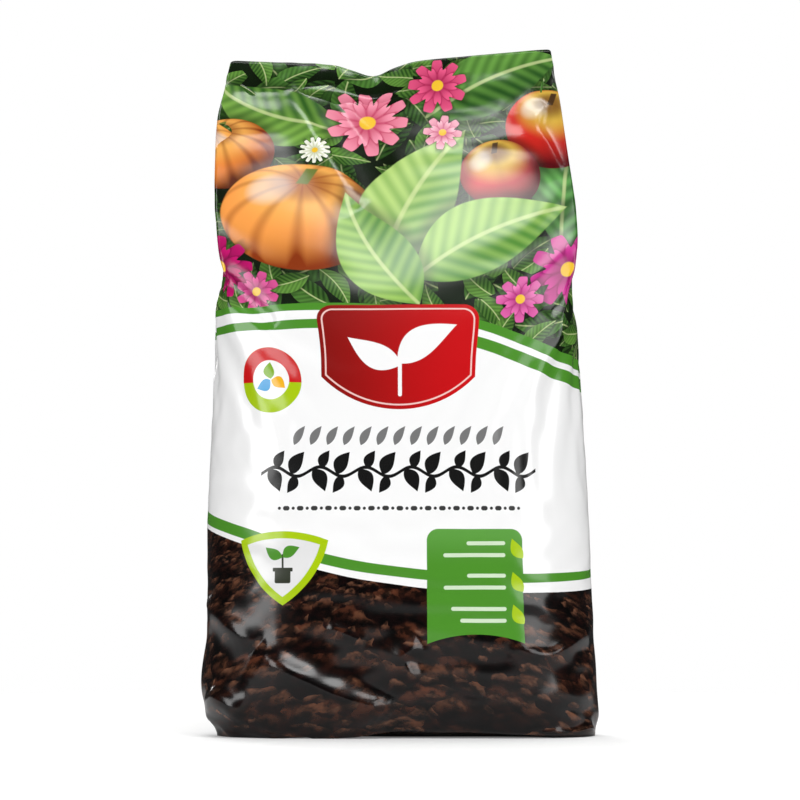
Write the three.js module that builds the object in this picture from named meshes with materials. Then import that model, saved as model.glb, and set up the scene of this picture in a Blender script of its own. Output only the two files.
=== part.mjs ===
// A five-litre compost bag: printed film with a gusset in each side, filled, welded shut along the top
// and standing on its folded-under base. A sealed, filled bag is one closed solid.
// Millimetres, +Z up. The printed front faces -Y, and the origin lies on the floor under the bag's middle.
import * as THREE from "three";

// Outline, seen from the front
const BAG_HEIGHT = 400; // floor to the higher, right-hand corner of the weld
const BASE_WIDTH = 224; // across the filled body at the floor
const WELD_WIDTH = 187.5; // along the top weld
const WELD_SHIFT = -5.5; // the weld's middle stands this far right of the base's middle
const WELD_DROP = 6.7; // the weld's left-hand corner is this much lower than its right-hand one
const WELD_SAG = 2.5; // the weld hangs this much below a straight line between its corners
const NOTCH_DEPTH = 8.5; // the weld dips here, where the film is creased across it
const NOTCH_WIDTH = 26; // from one shoulder of that dip to the other
const NOTCH_AT = -11; // the dip's place, measured from the weld's middle

// Depth, seen from the side
const BODY_DEPTH = 104; // front to back, where the bag is fullest
const WELD_THICKNESS = 1.2; // the film layers, pressed together
const WELD_HEIGHT = 11; // of the flat welded band
const WELD_WAVE = 5; // the weld swings this far to the front and to the back along its length
const TOP_LEAN = 7; // the empty top leans back this far
const BASE_RADIUS = 9; // where the walls turn under
const LEFT_EAR_INSET = 5; // the bottom corners turn under less
const RIGHT_EAR_INSET = 2;

// Gussets
const GUSSET_TUCK = 42; // each side is tucked in this far at the weld
const GUSSET_EDGE = 0.4; // share of the depth that is left at the gusset's creases, where they lie flat
const GUSSET_START = 0.48; // the tuck begins at this share of the height
const GUSSET_FULL = 0.84; // and is complete at this one
const GUSSET_CLOSING = 44; // below the weld, the tuck runs out over this height

// Resolution of the faceted skin
const PANEL_COLUMNS = 12; // from the middle of a panel to its crease
const GUSSET_COLUMNS = 6; // from that crease to the middle of the gusset
const BODY_ROWS = 52;
const BASE_ROWS = 4;

// How far each edge of the outline stands outside a straight line from the base to the weld,
// as [share of the height, millimetres].
const LEFT_BULGE = [
  [0, -1], [0.04, 2], [0.083, 4.6], [0.15, 2], [0.3, 3.7], [0.5, 3.2], [0.61, 3.8],
  [0.665, -0.7], [0.71, 3.2], [0.78, 5.5], [0.9, 7], [0.95, 4], [1, 0],
];
const RIGHT_BULGE = [
  [0, 3], [0.02, 3.8], [0.067, 4.1], [0.177, 4], [0.3, 4.9], [0.476, 5.6], [0.571, 5.6],
  [0.64, 3.9], [0.71, 7.4], [0.76, 8], [0.841, 5.5], [0.926, 2.9], [1, 0],
];

// The depth's share of BODY_DEPTH, up to the weld, as [share of the height, share of the depth].
const DEPTH_PROFILE = [
  [0, 0.8], [0.06, 0.91], [0.15, 1], [0.3, 1], [0.45, 0.97], [0.56, 0.9],
  [0.66, 0.76], [0.76, 0.55], [0.85, 0.33], [0.92, 0.16], [0.96, 0.07], [1, 0],
];

// The section is |x / a|^shoulder + |y / b|^tip = 1: a tip near 1 makes the pointed ears of the base.
const SHOULDER_PROFILE = [[0, 8], [0.05, 6.5], [0.12, 4.4], [0.3, 3.2], [1, 2.8]];
const TIP_PROFILE = [[0, 1.3], [0.09, 1.25], [0.28, 1.9], [1, 2]];

// Folds of the film. Each runs from one [across, up] to another, as shares of half the base width and of the
// height, and stands out (or in, if negative) by height, fading over width to each side, in millimetres.
const FRONT_FOLDS = [
  { from: [-0.66, 0.97], to: [-0.18, 0.74], height: 4.2, width: 15 }, // shoulder, from the weld's left corner
  { from: [-0.5, 0.97], to: [-0.05, 0.8], height: -3, width: 12 },
  { from: [0.76, 0.93], to: [0.68, 0.87], height: -2.5, width: 11 }, // bracket beside the right-hand crease
  { from: [0.68, 0.87], to: [0.86, 0.78], height: -2.5, width: 11 },
  { from: [-0.96, 0.665], to: [-0.6, 0.56], height: -4.5, width: 12 }, // the pinch in the left-hand edge
  { from: [0.98, 0.66], to: [0.72, 0.6], height: -3, width: 13 },
  { from: [-0.98, 0.2], to: [-0.72, 0.12], height: 2.5, width: 9 }, // wrinkles above the base
  { from: [-0.74, 0.125], to: [-0.04, 0.03], height: 4, width: 14 },
  { from: [0.02, 0.135], to: [0.07, 0.075], height: 2.5, width: 8 },
  { from: [0.55, 0.13], to: [0.99, 0.165], height: 3, width: 9 },
  { from: [-0.97, 0.07], to: [-0.74, 0.03], height: 3, width: 10 },
];
const BACK_FOLDS = [
  { from: [0.6, 0.96], to: [0.12, 0.72], height: 4.5, width: 14 },
  { from: [-0.62, 0.95], to: [-0.3, 0.77], height: -3.5, width: 13 },
  { from: [0.94, 0.62], to: [0.6, 0.55], height: -3.5, width: 13 },
  { from: [-0.96, 0.67], to: [-0.64, 0.6], height: -3.5, width: 13 },
  { from: [0.7, 0.14], to: [0.06, 0.04], height: 4, width: 14 },
  { from: [-0.95, 0.17], to: [-0.55, 0.1], height: 3, width: 11 },
  { from: [-0.4, 0.06], to: [-0.9, 0.02], height: 2.5, width: 11 },
];
const BOTH_LAYERS = [0.72, 0.9]; // from here up, front and back film lie together and fold as one

const HALF_BASE = BASE_WIDTH / 2;
const HALF_WELD = WELD_WIDTH / 2;
const HALF_DEPTH = BODY_DEPTH / 2;
const WELD_START = 1 - WELD_HEIGHT / BAG_HEIGHT;
// Where the gusset's crease lies on the film, on the way from the middle of a panel to the middle of a gusset
const CREASE = HALF_WELD / (HALF_WELD + GUSSET_TUCK);

const { lerp, smoothstep, clamp } = THREE.MathUtils;

// A smooth curve through [place, value] stations.
function through(stations, place) {
  const last = stations.length - 2;
  const i = clamp(stations.findIndex(([next]) => next > place) - 1, 0, last);
  const index = place >= stations[last + 1][0] ? last : i;
  const slopeAt = (k) => {
    const [before, after] = [Math.max(k - 1, 0), Math.min(k + 1, stations.length - 1)];
    return (stations[after][1] - stations[before][1]) / (stations[after][0] - stations[before][0]);
  };
  const [[x0, y0], [x1, y1]] = [stations[index], stations[index + 1]];
  const span = x1 - x0;
  const t = clamp((place - x0) / span, 0, 1);
  const rise = [slopeAt(index) * span, slopeAt(index + 1) * span];
  return (
    y0 * (1 + 2 * t) * (1 - t) ** 2 + rise[0] * t * (1 - t) ** 2 + y1 * t * t * (3 - 2 * t) - rise[1] * t * t * (1 - t)
  );
}

// Height of the weld's top edge above a point across the bag.
function weldTop(x) {
  const along = clamp((x - WELD_SHIFT) / HALF_WELD, -1, 1);
  const dip = Math.abs(x - WELD_SHIFT - NOTCH_AT) / (NOTCH_WIDTH / 2);
  const straight = BAG_HEIGHT - (WELD_DROP * (1 - along)) / 2;
  return straight - WELD_SAG * (1 - along * along) - NOTCH_DEPTH * Math.exp(-(dip ** 1.6));
}

// The section at a height: its reach to each side, its half depth, how square and how pointed it is,
// and how far the gussets are tucked in.
function sectionAt(up, inset) {
  const straight = (side) => lerp(HALF_BASE, HALF_WELD + side * WELD_SHIFT, up);
  const depth = HALF_DEPTH * through(DEPTH_PROFILE, Math.min(up / WELD_START, 1));
  const closing = clamp(1 - ((WELD_START - up) * BAG_HEIGHT) / GUSSET_CLOSING, 0, 1);
  return {
    left: straight(-1) + through(LEFT_BULGE, up) - Math.min(inset, LEFT_EAR_INSET),
    right: straight(1) + through(RIGHT_BULGE, up) - Math.min(inset, RIGHT_EAR_INSET),
    depth: Math.max(depth - inset, WELD_THICKNESS / 2),
    shoulder: through(SHOULDER_PROFILE, up),
    tip: through(TIP_PROFILE, up),
    tucked: smoothstep(up, GUSSET_START, GUSSET_FULL),
    tuck: GUSSET_TUCK * Math.sqrt(1 - closing ** 2),
    edge: lerp(GUSSET_EDGE, 1, closing ** 3),
  };
}

// The shares of the way from the middle of a panel to the middle of a gusset at which the skin has its columns.
const SHARES = [];
for (let i = 0; i < PANEL_COLUMNS; i++) SHARES.push((CREASE * i) / PANEL_COLUMNS);
for (let i = 0; i <= GUSSET_COLUMNS; i++) SHARES.push(CREASE + ((1 - CREASE) * i) / GUSSET_COLUMNS);
const QUARTER = SHARES.length - 1;

// A quarter of the section with the gusset open, at equal steps along the film.
const QUARTER_STEPS = 240;
function openQuarter(reach, section) {
  const points = [];
  for (let i = 0; i <= QUARTER_STEPS; i++) {
    const across = Math.sin((i / QUARTER_STEPS) * (Math.PI / 2));
    const deep = (1 - across ** section.shoulder) ** (1 / section.tip);
    points.push(new THREE.Vector2(reach * across, section.depth * deep));
  }
  const lengths = [0];
  for (let i = 1; i < points.length; i++) lengths.push(lengths[i - 1] + points[i].distanceTo(points[i - 1]));
  return SHARES.map((share) => {
    const wanted = share * lengths[QUARTER_STEPS];
    const i = clamp(lengths.findIndex((length) => length >= wanted), 1, QUARTER_STEPS);
    return points[i - 1].clone().lerp(points[i], (wanted - lengths[i - 1]) / (lengths[i] - lengths[i - 1]));
  });
}

// The same quarter with the gusset tucked flat between the panels.
function tuckedQuarter(reach, section) {
  return SHARES.map((share) => {
    const out = Math.min(share / CREASE, 1);
    const inwards = Math.max((share - CREASE) / (1 - CREASE), 0);
    const deep = (1 - (1 - section.edge) * out * out) * (1 - inwards);
    return new THREE.Vector2(reach * out - section.tuck * inwards, section.depth * deep);
  });
}

// The quarter as it stands, between open and tucked, with its outermost point at the outline.
function quarterAt(reach, section) {
  const tucked = tuckedQuarter(reach, section);
  const points = openQuarter(reach, section).map((point, i) => point.lerp(tucked[i], section.tucked));
  const widest = Math.max(...points.map((point) => point.x));
  for (const point of points) point.x *= reach / widest;
  return points;
}

// How far a fold lifts the film at a point, with the fold's ends faded out.
function foldLift(fold, x, z) {
  const [start, end] = [fold.from, fold.to].map(([a, u]) => new THREE.Vector2(a * HALF_BASE, u * BAG_HEIGHT));
  const run = end.clone().sub(start);
  const here = new THREE.Vector2(x, z).sub(start);
  const along = clamp(here.dot(run) / run.lengthSq(), 0, 1);
  const away = here.sub(run.multiplyScalar(along)).length() / fold.width;
  return fold.height * (1 - (2 * along - 1) ** 4) * Math.exp(-away * away);
}
const lift = (folds, x, z) => folds.reduce((sum, fold) => sum + foldLift(fold, x, z), 0);

// Moves a section point to its place on the bag, with the lean and wave of the top and the folds.
function filmPoint(section, flat, side, face, up, foot) {
  const x = side * flat.x;
  const z = up * BAG_HEIGHT + foot + (weldTop(x) - BAG_HEIGHT) * smoothstep(up, 0.55, 1);
  const facing = flat.y / section.depth; // 1 on the panels, 0 in the middle of a gusset
  const together = smoothstep(up, BOTH_LAYERS[0], BOTH_LAYERS[1]);
  const ease = smoothstep(up, 0, 0.03) * (1 - smoothstep(up, 0.9, 0.97));
  const fold = { front: -lift(FRONT_FOLDS, x, z) * ease, back: lift(BACK_FOLDS, x, z) * ease };
  const own = face < 0 ? fold.front : fold.back;
  const inner = 1 - smoothstep(flat.x / (side > 0 ? section.right : section.left), 0.75, 0.98);
  const folded = lerp(own * Math.min(facing * 1.5, 1), (fold.front + fold.back) * inner, together);
  const wave = WELD_WAVE * Math.cos((2 * Math.PI * (x - WELD_SHIFT - NOTCH_AT)) / WELD_WIDTH);
  return [x, face * flat.y + folded + (wave + TOP_LEAN) * smoothstep(up, 0.6, 1), z];
}

// One closed ring of film points, anticlockwise from the middle of the front.
function ring(up, inset, foot) {
  const section = sectionAt(up, inset);
  const [left, right] = [quarterAt(section.left, section), quarterAt(section.right, section)];
  const points = [];
  for (const [side, face, outwards] of [[1, -1, true], [1, 1, false], [-1, 1, true], [-1, -1, false]])
    for (let k = 0; k < QUARTER; k++) {
      const flat = (side > 0 ? right : left)[outwards ? k : QUARTER - k];
      points.push(filmPoint(section, flat, side, face, up, foot));
    }
  return points;
}

// All rings from the floor to the top edge of the weld: the turned-under base, the body, then the weld.
function rings() {
  const made = [];
  const baseTop = BASE_RADIUS / BAG_HEIGHT;
  for (let i = 0; i < BASE_ROWS; i++) {
    const turn = ((i / BASE_ROWS) * Math.PI) / 2;
    made.push(ring(0, BASE_RADIUS * (1 - Math.sin(turn)), BASE_RADIUS * (1 - Math.cos(turn))));
  }
  for (let i = 0; i < BODY_ROWS; i++) made.push(ring(lerp(baseTop, WELD_START, i / BODY_ROWS), 0, 0));
  for (const up of [WELD_START, 1]) made.push(ring(up, 0, 0));
  return made;
}

// The skin: quads between neighbouring rings, and strips from front to back that close the base and the weld.
function bagGeometry() {
  const rows = rings();
  const columns = rows[0].length;
  const faces = [];
  const quad = (a, b, c, d) => faces.push(a, b, c, a, c, d);
  for (let i = 0; i + 1 < rows.length; i++)
    for (let j = 0; j < columns; j++) {
      const next = (j + 1) % columns;
      quad(i * columns + j, i * columns + next, (i + 1) * columns + next, (i + 1) * columns + j);
    }
  const close = (row, upwards) => {
    const front = (j) => row * columns + ((j + columns) % columns);
    const back = (j) => row * columns + ((columns / 2 - j + columns) % columns);
    for (let j = -QUARTER; j < QUARTER; j++) {
      const corners = [front(j), front(j + 1), back(j + 1), back(j)].filter((c, i, all) => all.indexOf(c) === i);
      const ordered = upwards ? corners : corners.reverse();
      if (ordered.length === 3) faces.push(...ordered);
      else quad(...ordered);
    }
  };
  close(0, false);
  close(rows.length - 1, true);
  const geometry = new THREE.BufferGeometry();
  geometry.setAttribute("position", new THREE.Float32BufferAttribute(rows.flat(2), 3));
  geometry.setIndex(faces);
  return geometry;
}

// Puts the middle of the bag's footprint at the origin, with the base on the floor.
function centred(geometry) {
  geometry.computeBoundingBox();
  const { min, max } = geometry.boundingBox;
  geometry.translate(-(min.x + max.x) / 2, -(min.y + max.y) / 2, -min.z);
  geometry.computeVertexNormals();
  return geometry;
}

const film = new THREE.MeshStandardMaterial({ color: 0xf1f1ee, roughness: 0.35, metalness: 0 });
const bag = new THREE.Mesh(centred(bagGeometry()), film);
bag.name = "compost_bag";

const part = new THREE.Group();
part.add(bag);
export default part;
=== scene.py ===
# %% [markdown]
# # A filled bag of compost
# The object is one piece of printed plastic film: a tube with a gusset folded into each side, filled
# with compost, welded shut along the top and standing on its folded-under base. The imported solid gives
# its size, and this lesson makes the film itself: its form, its wrinkles, its print and its gloss.

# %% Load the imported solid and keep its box
import math

import bpy
import numpy as np
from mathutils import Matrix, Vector


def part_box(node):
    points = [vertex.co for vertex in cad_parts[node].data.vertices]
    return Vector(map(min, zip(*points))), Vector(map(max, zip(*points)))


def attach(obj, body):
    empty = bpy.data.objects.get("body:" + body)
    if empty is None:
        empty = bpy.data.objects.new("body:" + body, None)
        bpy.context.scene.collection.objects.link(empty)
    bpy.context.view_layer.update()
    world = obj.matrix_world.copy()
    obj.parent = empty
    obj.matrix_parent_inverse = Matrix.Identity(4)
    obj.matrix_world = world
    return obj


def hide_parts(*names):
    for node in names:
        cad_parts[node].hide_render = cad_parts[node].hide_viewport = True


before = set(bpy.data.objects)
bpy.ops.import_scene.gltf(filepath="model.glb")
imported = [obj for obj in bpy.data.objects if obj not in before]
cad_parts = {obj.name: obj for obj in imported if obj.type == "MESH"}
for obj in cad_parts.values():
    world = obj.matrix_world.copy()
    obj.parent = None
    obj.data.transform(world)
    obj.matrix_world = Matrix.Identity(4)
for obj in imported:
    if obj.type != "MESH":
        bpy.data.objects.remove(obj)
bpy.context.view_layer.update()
MM = 0.001
LOW, HIGH = (Vector(corner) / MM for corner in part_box("compost_bag"))
BAG_HEIGHT = HIGH.z
print("bag, mm:", [round(side, 1) for side in HIGH - LOW])


def linear(hex_colour):
    """An sRGB hex colour as the linear RGBA that Blender's nodes expect."""
    channels = [int(hex_colour[i : i + 2], 16) / 255 for i in (1, 3, 5)]
    return [c / 12.92 if c <= 0.04045 else ((c + 0.055) / 1.055) ** 2.4 for c in channels] + [1.0]


def node(tree, kind, links=(), **settings):
    """Adds a shader node to a tree. Settings are its properties. Links give its inputs in order, or by
    name in a dict: another node (its first output), one of its outputs, or a plain value."""
    made = tree.nodes.new("ShaderNode" + kind)
    for name, value in settings.items():
        setattr(made, name, value)
    for name, source in links.items() if isinstance(links, dict) else enumerate(links):
        if isinstance(source, bpy.types.Node):
            source = source.outputs[0]
        if isinstance(source, bpy.types.NodeSocket):
            tree.links.new(source, made.inputs[name])
        else:
            made.inputs[name].default_value = source
    return made


def calc(tree, operation, *numbers):
    """A node that calculates with numbers, or with what other nodes give."""
    return node(tree, "Math", numbers, operation=operation)


def vector_calc(tree, operation, *vectors):
    """The same for vectors. A length, a distance or a dot product comes out as a number."""
    made = node(tree, "VectorMath", vectors, operation=operation)
    return made.outputs["Value"] if operation in ("LENGTH", "DISTANCE", "DOT_PRODUCT") else made


def ramp(tree, value, *ends):
    """A smooth step: where the value starts and ends, and what is given there (0 and 1 if left out)."""
    links = (value, *ends)
    return node(tree, "MapRange", links, interpolation_type="SMOOTHSTEP", clamp=False)


def blend(tree, share, below, above):
    """A share of one colour laid over another."""
    return node(tree, "MixRGB", (share, below, above))


# %% [markdown]
# ## The picture's camera
# The photograph was taken straight from the front with a long lens, close to the floor, so the base
# shows as one line. A long lens keeps the sides of the bag nearly parallel. The camera's place is set
# by the real width that the square picture covers at the bag.

# %% Camera
PICTURE_WIDTH = 464.0
CAMERA_DISTANCE = 1900.0
CAMERA_HEIGHT = 95.0
AIM_HEIGHT = 194.0
SENSOR = 36.0

bpy.ops.object.select_all(action="DESELECT")
camera_data = bpy.data.cameras.new("camera")
camera = bpy.data.objects.new("camera", camera_data)
bpy.context.scene.collection.objects.link(camera)
camera_data.sensor_width = SENSOR
camera_data.lens = SENSOR * CAMERA_DISTANCE / PICTURE_WIDTH
camera.location = Vector((0, -CAMERA_DISTANCE, CAMERA_HEIGHT)) * MM
aim = Vector((0, 0, AIM_HEIGHT)) * MM - camera.location
camera.rotation_euler = aim.to_track_quat("-Z", "Y").to_euler()
bpy.context.scene.camera = camera
print("lens, mm:", round(camera_data.lens, 1))

# %% [markdown]
# ## A plain studio
# Lamps high in front, at the sides, above and behind light the film evenly, as in a catalogue picture.
# Dark flags round the camera keep its dark print deep: in reflections the room is nearly black and the
# floor grey, while each fold that leans towards a lamp catches it. To the camera the world and the
# floor are white. The floor keeps the bag's shadow, and fades out a short way from the bag. A picture
# of a room could light the scene as well, but lamps can be set one by one.

# %% World: white to the camera, a dim room to everything else
scene = bpy.context.scene
scene.view_settings.view_transform = "Standard"
WHITE = linear("#ffffff")
ROOM_LIGHT = 0.2
DARK_FLAGS = 0.04

world = bpy.data.worlds.new("studio")
world.use_nodes = True
scene.world = world
tree = world.node_tree
tree.nodes.clear()
rays = node(tree, "LightPath").outputs
seen_in_gloss = {"Value": rays["Is Glossy Ray"], "To Min": ROOM_LIGHT, "To Max": DARK_FLAGS}
room = node(tree, "Background", {"Color": WHITE, "Strength": node(tree, "MapRange", seen_in_gloss)})
paper = node(tree, "Background", {"Color": WHITE, "Strength": 1.0})
mixed = node(tree, "MixShader", [rays["Is Camera Ray"], room, paper])
node(tree, "OutputWorld", {"Surface": mixed})
print("room light:", ROOM_LIGHT, "in reflections:", DARK_FLAGS)

# %% Floor: white paper that fades out round the bag
FLOOR_SIZE = 4000.0
FLOOR_FADE = (280.0, 760.0)
FLOOR_GLOW = 0.15
FLOOR_INK = linear("#f0f0f0")
FLOOR_IN_GLOSS = linear("#c4c4c4")

bpy.ops.mesh.primitive_plane_add(size=FLOOR_SIZE * MM)
floor = bpy.context.object
floor.name = "floor"
# Matt paper: no reflections, only the soft shadow of the bag.
floor_paper = bpy.data.materials.new("white_paper")
floor_paper.use_nodes = True
tree = floor_paper.node_tree
tree.nodes.clear()
rays = node(tree, "LightPath").outputs
sheet = blend(tree, rays["Is Glossy Ray"], FLOOR_INK, FLOOR_IN_GLOSS)
diffuse = node(tree, "BsdfDiffuse", {"Color": sheet})
glow = node(tree, "Emission", {"Color": WHITE, "Strength": FLOOR_GLOW})
lit = node(tree, "AddShader", {0: diffuse, 1: glow})
near = node(tree, "MixShader", [rays["Is Camera Ray"], diffuse, lit])
place = node(tree, "TexCoord")
away = vector_calc(tree, "LENGTH", place.outputs["Object"])
fade = [away, *(reach * MM for reach in FLOOR_FADE)]
faded = node(tree, "MapRange", fade, interpolation_type="SMOOTHSTEP")
clear = node(tree, "BsdfTransparent")
whole = node(tree, "MixShader", {0: faded, 1: near, 2: clear})
node(tree, "OutputMaterial", {"Surface": whole})
floor.data.materials.append(floor_paper)
print("floor fades from", FLOOR_FADE[0], "to", FLOOR_FADE[1], "mm")

# %% Lamps
# Name, place and aim in millimetres, width and height of the lamp, power in watts
LAMPS = [
    ("front", (400, -1150, 1600), (0, 0, 190), (1400, 500), 18.0),
    ("left", (-1550, -1300, 700), (0, 0, 190), (800, 1300), 16.5),
    ("right", (1550, -1300, 600), (0, 0, 190), (800, 1300), 12.0),
    ("top", (0, 450, 1700), (0, 0, 100), (1200, 800), 10.0),
    ("back", (-500, 1700, 900), (0, 0, 190), (1200, 1000), 22.0),
]
for name, place, target, size, power in LAMPS:
    lamp_data = bpy.data.lights.new(name, "AREA")
    lamp_data.shape = "RECTANGLE"
    lamp_data.size, lamp_data.size_y = (side * MM for side in size)
    lamp_data.energy = power
    lamp = bpy.data.objects.new(name, lamp_data)
    scene.collection.objects.link(lamp)
    lamp.location = Vector(place) * MM
    lamp.rotation_euler = (Vector(target) - Vector(place)).to_track_quat("-Z", "Y").to_euler()
print("lamps:", len(LAMPS))

# %% [markdown]
# ## The form of the bag
# A bag like this starts as a flat tube. Filled, its lower part swells to a rounded block; above the
# compost the sides tuck in between front and back until everything lies flat in the weld. A box could
# be pulled into this form by hand. Here it is worked out row by row instead: each row of the film is a
# section that lies somewhere between open and tucked. The stations are the solid's own, so the film
# lies where the solid is.

# %% Sizes of the form, in millimetres and shares of the height
BASE_WIDTH = 224.0
WELD_WIDTH = 187.5
WELD_SHIFT = -5.5
WELD_DROP = 6.7
WELD_SAG = 2.5
NOTCH_DEPTH = 8.5
NOTCH_WIDTH = 26.0
NOTCH_AT = -11.0
NOTCH_SHAPE = 1.6
BODY_DEPTH = 104.0
WELD_THICKNESS = 0.7
WELD_HEIGHT = 11.0
WELD_WAVE = 5.0
TOP_LEAN = 7.0
BASE_RADIUS = 9.0
LEFT_EAR_INSET = 5.0
RIGHT_EAR_INSET = 2.0
GUSSET_TUCK = 41.0
GUSSET_EDGE = 0.4
GUSSET_START = 0.48
GUSSET_FULL = 0.84
GUSSET_CLOSING = 44.0
WELD_START = 1 - WELD_HEIGHT / BAG_HEIGHT
SAG_START = 0.55
WAVE_START = 0.6
print("weld starts, mm:", round(WELD_START * BAG_HEIGHT, 1))

# %% Profiles up the bag: stations as (share of the height, value), and curves through them
LEFT_BULGE = [
    (0, -1), (0.04, 2), (0.083, 4.6), (0.15, 2), (0.3, 3.7), (0.5, 3.2), (0.61, 3.8),
    (0.665, -0.7), (0.71, 3.2), (0.78, 5.5), (0.9, 7), (0.95, 4), (1, 0),
]
RIGHT_BULGE = [
    (0, 3), (0.02, 3.8), (0.067, 4.1), (0.177, 4), (0.3, 4.9), (0.476, 5.6), (0.571, 5.6),
    (0.64, 3.9), (0.71, 7.4), (0.76, 8), (0.841, 5.5), (0.926, 2.9), (1, 0),
]
DEPTH_PROFILE = [
    (0, 0.8), (0.06, 0.91), (0.15, 1), (0.3, 1), (0.45, 0.97), (0.56, 0.9),
    (0.66, 0.76), (0.76, 0.55), (0.85, 0.33), (0.92, 0.16), (0.96, 0.07), (1, 0),
]
SHOULDER_PROFILE = [(0, 8), (0.05, 6.5), (0.12, 4.4), (0.3, 3.2), (1, 2.8)]
TIP_PROFILE = [(0, 1.3), (0.09, 1.25), (0.28, 1.9), (1, 2)]


def through(stations, place):
    """A smooth curve through (place, value) stations, for an array of places."""
    x, y = np.array(stations, float).T
    before = np.maximum(np.arange(len(x)) - 1, 0)
    after = np.minimum(np.arange(len(x)) + 1, len(x) - 1)
    slope = (y[after] - y[before]) / (x[after] - x[before])
    i = np.clip(np.searchsorted(x, place, side="right") - 1, 0, len(x) - 2)
    span = x[i + 1] - x[i]
    t = np.clip((place - x[i]) / span, 0, 1)
    start = y[i] * (1 + 2 * t) * (1 - t) ** 2 + slope[i] * span * t * (1 - t) ** 2
    return start + y[i + 1] * t * t * (3 - 2 * t) - slope[i + 1] * span * t * t * (1 - t)


def ease(value, start, end):
    """0 before start, 1 after end, and smooth between them."""
    t = np.clip((value - start) / (end - start), 0, 1)
    return t * t * (3 - 2 * t)


print("depth at half the height, mm:", round(float(BODY_DEPTH * through(DEPTH_PROFILE, 0.5)), 1))

# %% [markdown]
# ## The flat film
# Real film is printed flat, so the sheet is made flat too: a grid whose UV map is the printer's layout.
# The middle of the front is the middle of the sheet, and the two long edges meet in the middle of the
# back. Rows run from the weld under the base, round the base's edge and up the walls to the top weld.
# The finished bag could be unwrapped instead, but this layout is even from the start.

# %% A flat grid, with its rows and columns
QUARTER = 23
CREASE_COLUMN = 16
COLUMNS = 4 * QUARTER
BASE_ROWS = 5
TURN_ROWS = 3
WALL_ROWS = 56
WELD_ROWS = 2
ROWS = BASE_ROWS + TURN_ROWS + WALL_ROWS + WELD_ROWS
FILM_GIRTH = 4 * (WELD_WIDTH / 2) * QUARTER / CREASE_COLUMN

bpy.ops.object.select_all(action="DESELECT")
bpy.ops.mesh.primitive_grid_add(x_subdivisions=COLUMNS, y_subdivisions=ROWS, size=1.0, calc_uvs=True)
film = bpy.context.object
film.name = "film_bag"
film.data.name = "film_bag"
film.data.uv_layers[0].name = "film"
flat = np.array([v.co for v in film.data.vertices])
film_column = np.rint((flat[:, 0] + 0.5) * COLUMNS).astype(int)
film_row = np.rint((flat[:, 1] + 0.5) * ROWS).astype(int)
for name, values in (("film_column", film_column), ("film_row", film_row)):
    film.data.attributes.new(name, "INT", "POINT").data.foreach_set("value", values)
print("film girth, mm:", round(FILM_GIRTH, 1), "grid:", COLUMNS, "by", ROWS)

# %% [markdown]
# ## From sheet to bag
# Each row is first given its height, its turn-under at the base and its section. A quarter of the
# section runs from the middle of a panel to the middle of a gusset, and its points are spaced evenly
# along the film, as the film itself can't stretch. A curve swept upwards would make the same walls, but
# its points would leave their places on the print.

# %% Rows: height, inset of the turned-under edge, and how far the base has closed
base_turn = np.linspace(0, math.pi / 2, TURN_ROWS + 1)[:-1]
wall = np.linspace(BASE_RADIUS / BAG_HEIGHT, WELD_START, WALL_ROWS + 1)
weld = np.linspace(WELD_START, 1, WELD_ROWS + 1)[1:]
row_up = np.concatenate([np.zeros(BASE_ROWS + TURN_ROWS), wall, weld])
row_inset = np.zeros(ROWS + 1)
row_inset[:BASE_ROWS] = BASE_RADIUS
row_inset[BASE_ROWS : BASE_ROWS + TURN_ROWS] = BASE_RADIUS * (1 - np.sin(base_turn))
row_foot = np.zeros(ROWS + 1)
row_foot[BASE_ROWS : BASE_ROWS + TURN_ROWS] = BASE_RADIUS * (1 - np.cos(base_turn))
row_spread = np.ones(ROWS + 1)
row_spread[:BASE_ROWS] = np.linspace(0, 1, BASE_ROWS + 1)[:-1]
row_spread[-1] = 0
print("rows:", ROWS + 1, "of them under the base or round its edge:", BASE_ROWS + TURN_ROWS)

# %% One row's section, and the top edge
SECTION_STEPS = 241


def weld_top(x):
    """Height of the weld's top edge above a place across the bag."""
    along = np.clip((x - WELD_SHIFT) / (WELD_WIDTH / 2), -1, 1)
    dip = np.abs(x - WELD_SHIFT - NOTCH_AT) / (NOTCH_WIDTH / 2)
    straight = BAG_HEIGHT - WELD_DROP * (1 - along) / 2
    return straight - WELD_SAG * (1 - along**2) - NOTCH_DEPTH * np.exp(-(dip**NOTCH_SHAPE))


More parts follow.
